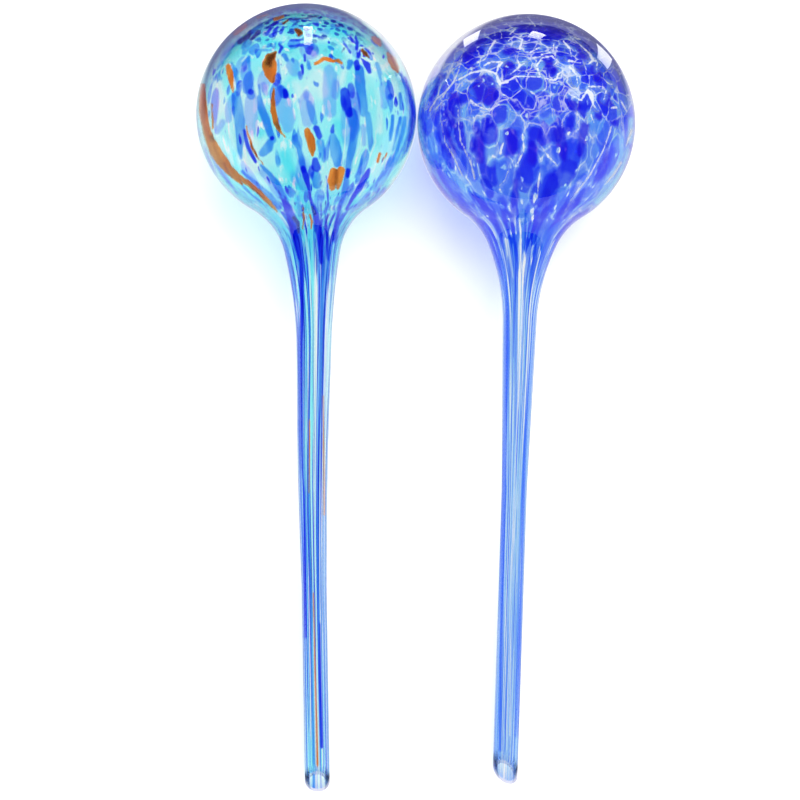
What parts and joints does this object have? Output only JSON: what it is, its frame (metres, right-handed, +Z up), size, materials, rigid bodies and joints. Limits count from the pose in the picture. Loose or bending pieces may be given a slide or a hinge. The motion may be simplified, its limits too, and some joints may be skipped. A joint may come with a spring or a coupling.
{
  "type": "watering globe pair",
  "caption": "Hand-blown glass watering globes with round bulbs, flared throats and long open stems cut on a slant, lying side by side.",
  "frame": {"origin": "on the table under the middle of the pair's box", "axes": "+Z up from the table, +Y from the stem tips to the bulbs, +X from the turquoise globe to the cobalt one"},
  "size_m": [0.1754, 0.3226, 0.088],
  "materials": {
    "turquoise_tint": "polished glass",
    "clear": "polished glass",
    "azure": "polished glass",
    "cobalt_blue": "polished glass",
    "amber": "polished glass",
    "milk_white": "polished glass",
    "aqua": "polished glass",
    "cobalt_tint": "polished glass",
    "ultramarine": "polished glass"
  },
  "bodies": {
    "turquoise_globe": {"turquoise_inner_bulb": "turquoise_tint", "turquoise_inner_stem": "turquoise_tint", "turquoise_casing_bulb": "clear", "turquoise_casing_stem": "clear", "turquoise_azure_chips": "azure", "turquoise_cobalt_chips": "cobalt_blue", "turquoise_amber_chips": "amber", "turquoise_white_chips": "milk_white", "turquoise_azure_threads": "azure", "turquoise_cobalt_threads": "cobalt_blue", "turquoise_aqua_threads": "aqua", "turquoise_amber_threads": "amber"},
    "cobalt_globe": {"cobalt_inner_bulb": "cobalt_tint", "cobalt_inner_stem": "cobalt_tint", "cobalt_casing_bulb": "clear", "cobalt_casing_stem": "clear", "cobalt_ultramarine_chips": "ultramarine", "cobalt_azure_chips": "azure", "cobalt_white_chips": "milk_white", "cobalt_ultramarine_threads": "ultramarine", "cobalt_azure_threads": "azure", "cobalt_white_threads": "milk_white"}
  },
  "joints": [
    {"name": "cobalt_lift", "type": "slide", "parent": "turquoise_globe", "child": "cobalt_globe", "axis": [0, 0, 1], "range_m": [0, 0.12]}
  ]
}
